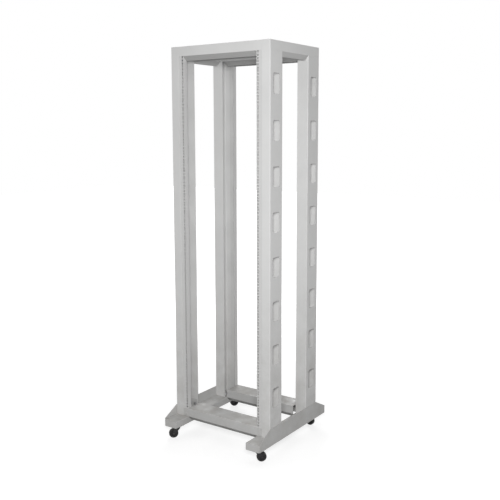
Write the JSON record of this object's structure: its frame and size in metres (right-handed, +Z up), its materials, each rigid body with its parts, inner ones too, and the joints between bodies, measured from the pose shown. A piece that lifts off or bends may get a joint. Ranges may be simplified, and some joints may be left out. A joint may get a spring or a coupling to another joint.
{
  "type": "four post open frame rack",
  "caption": "Tall open frame equipment rack with folded sheet posts, square-hole mounting rails, top and base beams, and swivel casters.",
  "frame": {"origin": "on the floor, under the middle of the frame", "axes": "+Z up, +X to the right of someone facing the front, -Y the front"},
  "size_m": [0.616, 0.656, 2.07],
  "materials": {
    "grey_paint": "satin light grey powder coat",
    "zinc": "dull zinc plate",
    "wheel": "matt black"
  },
  "bodies": {
    "frame": {"post_front_left": "grey_paint", "post_front_right": "grey_paint", "post_rear_left": "grey_paint", "post_rear_right": "grey_paint", "mounting_rail_front_left": "grey_paint", "mounting_rail_front_right": "grey_paint", "mounting_rail_rear_left": "grey_paint", "mounting_rail_rear_right": "grey_paint", "foot_angle_front_left": "grey_paint", "foot_angle_front_right": "grey_paint", "foot_angle_rear_left": "grey_paint", "foot_angle_rear_right": "grey_paint", "caster_mount_front_left": "zinc", "caster_mount_front_right": "zinc", "caster_mount_rear_left": "zinc", "caster_mount_rear_right": "zinc", "top_beam_front": "grey_paint", "top_beam_rear": "grey_paint", "top_beam_left": "grey_paint", "top_beam_right": "grey_paint", "base_beam_front": "grey_paint", "base_beam_rear": "grey_paint", "skid_left": "grey_paint", "skid_right": "grey_paint", "skid_ends_left": "grey_paint", "skid_ends_right": "grey_paint", "side_plate_left": "grey_paint", "side_plate_right": "grey_paint"},
    "swivel_front_left": {"caster_fork_front_left": "zinc", "caster_axle_front_left": "zinc"},
    "wheel_front_left": {"caster_wheel_front_left": "wheel"},
    "swivel_front_right": {"caster_fork_front_right": "zinc", "caster_axle_front_right": "zinc"},
    "wheel_front_right": {"caster_wheel_front_right": "wheel"},
    "swivel_rear_left": {"caster_fork_rear_left": "zinc", "caster_axle_rear_left": "zinc"},
    "wheel_rear_left": {"caster_wheel_rear_left": "wheel"},
    "swivel_rear_right": {"caster_fork_rear_right": "zinc", "caster_axle_rear_right": "zinc"},
    "wheel_rear_right": {"caster_wheel_rear_right": "wheel"}
  },
  "joints": [
    {"name": "swivel_front_left", "type": "hinge", "parent": "frame", "child": "swivel_front_left", "pos_m": [-0.263, -0.278, 0.062], "axis": [0, 0, 1], "continuous": true},
    {"name": "wheel_spin_front_left", "type": "hinge", "parent": "swivel_front_left", "child": "wheel_front_left", "pos_m": [-0.27714, -0.29214, 0.025], "axis": [0.7071, -0.7071, 0], "continuous": true},
    {"name": "swivel_front_right", "type": "hinge", "parent": "frame", "child": "swivel_front_right", "pos_m": [0.263, -0.278, 0.062], "axis": [0, 0, 1], "continuous": true},
    {"name": "wheel_spin_front_right", "type": "hinge", "parent": "swivel_front_right", "child": "wheel_front_right", "pos_m": [0.27714, -0.26386, 0.025], "axis": [-0.7071, 0.7071, 0], "continuous": true},
    {"name": "swivel_rear_left", "type": "hinge", "parent": "frame", "child": "swivel_rear_left", "pos_m": [-0.263, 0.278, 0.062], "axis": [0, 0, 1], "continuous": true},
    {"name": "wheel_spin_rear_left", "type": "hinge", "parent": "swivel_rear_left", "child": "wheel_rear_left", "pos_m": [-0.28179, 0.27116, 0.025], "axis": [0.342, -0.9397, 0], "continuous": true},
    {"name": "swivel_rear_right", "type": "hinge", "parent": "frame", "child": "swivel_rear_right", "pos_m": [0.263, 0.278, 0.062], "axis": [0, 0, 1], "continuous": true},
    {"name": "wheel_spin_rear_right", "type": "hinge", "parent": "swivel_rear_right", "child": "wheel_rear_right", "pos_m": [0.243, 0.278, 0.025], "axis": [0, -1, 0], "continuous": true}
  ]
}
